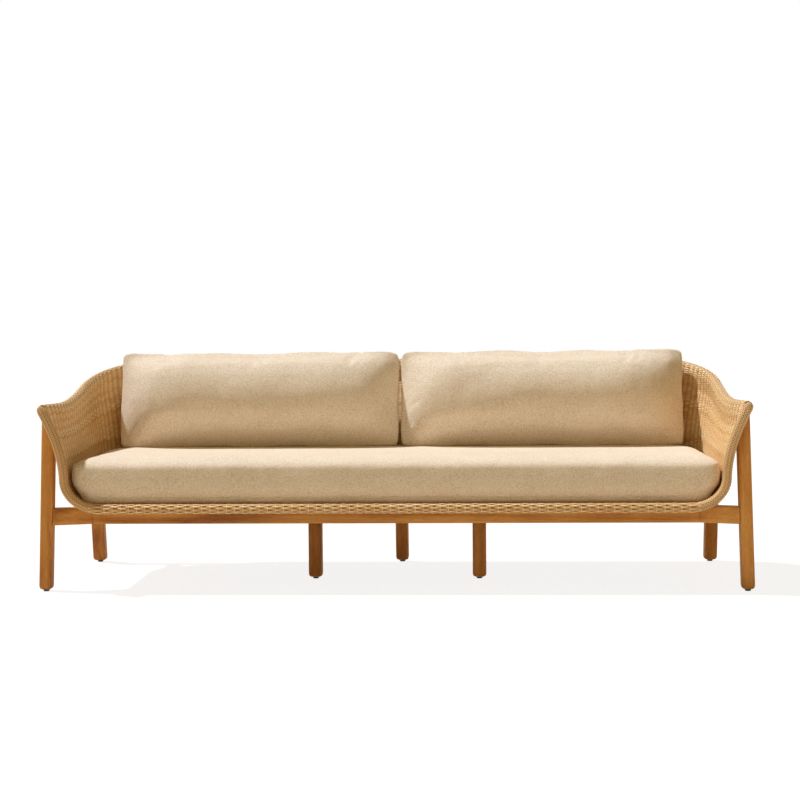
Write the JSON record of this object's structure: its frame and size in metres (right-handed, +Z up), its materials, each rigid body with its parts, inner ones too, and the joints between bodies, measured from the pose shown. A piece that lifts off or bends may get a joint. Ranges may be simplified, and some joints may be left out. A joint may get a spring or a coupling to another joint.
{
  "type": "garden sofa",
  "caption": "Long garden sofa: woven rattan shell with flared arms on a teak frame with tall front posts and short legs, with a long seat cushion and back cushions.",
  "frame": {"origin": "on the floor, below the middle of the bounding box", "axes": "+X towards the right arm as seen from the front, +Y to the back, +Z up; the front faces -Y"},
  "size_m": [2.4538, 0.8556, 0.8147],
  "materials": {
    "teak": "oiled, satin",
    "rattan": "woven strands, matt",
    "fabric": "coarse woven cover",
    "aluminium": "plain",
    "steel": "dull",
    "glide": "matt"
  },
  "bodies": {
    "root": {"front_leg_bolt_left_lower": "steel", "front_leg_plug_left_lower": "teak", "front_leg_bolt_left_upper": "steel", "front_leg_plug_left_upper": "teak", "front_leg_left": "teak", "rail_end_dowel_left": "teak", "front_rail_end_left": "teak", "front_leg_bolt_right_lower": "steel", "front_leg_plug_right_lower": "teak", "front_leg_bolt_right_upper": "steel", "front_leg_plug_right_upper": "teak", "front_leg_right": "teak", "rail_end_dowel_right": "teak", "front_rail_end_right": "teak", "side_rail_bolt_left_front": "steel", "side_rail_bolt_left_rear": "steel", "mid_rail_bolt_left": "steel", "rear_leg_bolt_left": "steel", "mid_leg_bolt_left": "steel", "side_rail_bolt_right_front": "steel", "side_rail_bolt_right_rear": "steel", "mid_rail_bolt_right": "steel", "rear_leg_bolt_right": "steel", "mid_leg_bolt_right": "steel", "rear_leg_bolt_centre": "steel", "front_rail": "teak", "rear_rail": "teak", "mid_rail": "teak", "side_rail_left": "teak", "bearer_front_left": "teak", "bearer_rear_left": "teak", "side_rail_right": "teak", "bearer_front_right": "teak", "bearer_rear_right": "teak", "mid_leg_left": "teak", "mid_leg_right": "teak", "rear_leg_left": "teak", "rear_leg_centre": "teak", "rear_leg_right": "teak", "glide_front_left": "glide", "glide_front_right": "glide", "glide_mid_left": "glide", "glide_mid_right": "glide", "glide_rear_left": "glide", "glide_rear_centre": "glide", "glide_rear_right": "glide", "woven_shell": "rattan", "front_edge_wrap": "rattan", "rim_wrap": "rattan", "front_edge_tube": "aluminium", "rim_tube": "aluminium", "seat_tube_1": "aluminium", "seat_tube_2": "aluminium", "seat_tube_3": "aluminium", "seat_tube_4": "aluminium", "seat_tube_5": "aluminium", "seat_tube_6": "aluminium", "seat_cushion": "fabric", "back_cushion_left": "fabric", "back_cushion_right": "fabric"}
  },
  "joints": []
}
